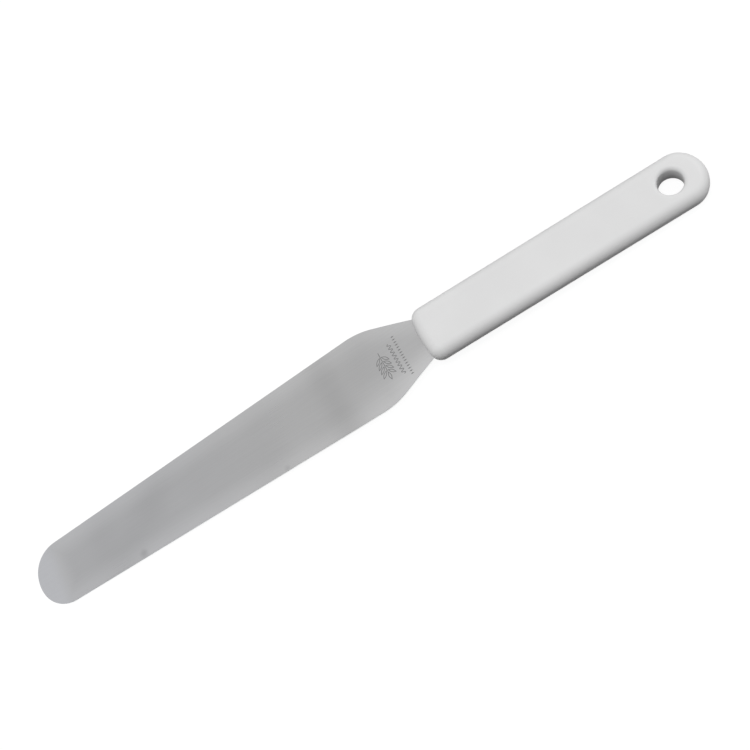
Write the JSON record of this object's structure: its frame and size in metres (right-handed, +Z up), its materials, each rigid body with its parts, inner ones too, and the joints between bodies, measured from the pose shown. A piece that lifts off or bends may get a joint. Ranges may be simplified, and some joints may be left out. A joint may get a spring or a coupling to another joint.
{
  "type": "icing spatula",
  "caption": "Icing spatula with a long springy stainless blade, broad soft shoulders and a round tip, and a moulded white plastic handle with a hanging hole.",
  "frame": {"origin": "bottom centre of the bounding box, on the table that the spatula lies on", "axes": "+X towards the blade's tip along the spatula, +Z up from the table, and the spatula is the same on both sides of Y = 0"},
  "size_m": [0.321, 0.0362, 0.0116],
  "materials": {
    "blade_steel": "satin stainless steel with soft cloudy reflections and a fine lengthwise grain",
    "handle_plastic": "white moulded polypropylene with a smooth satin skin"
  },
  "bodies": {
    "root": {"blade": "blade_steel", "handle": "handle_plastic"}
  },
  "joints": []
}
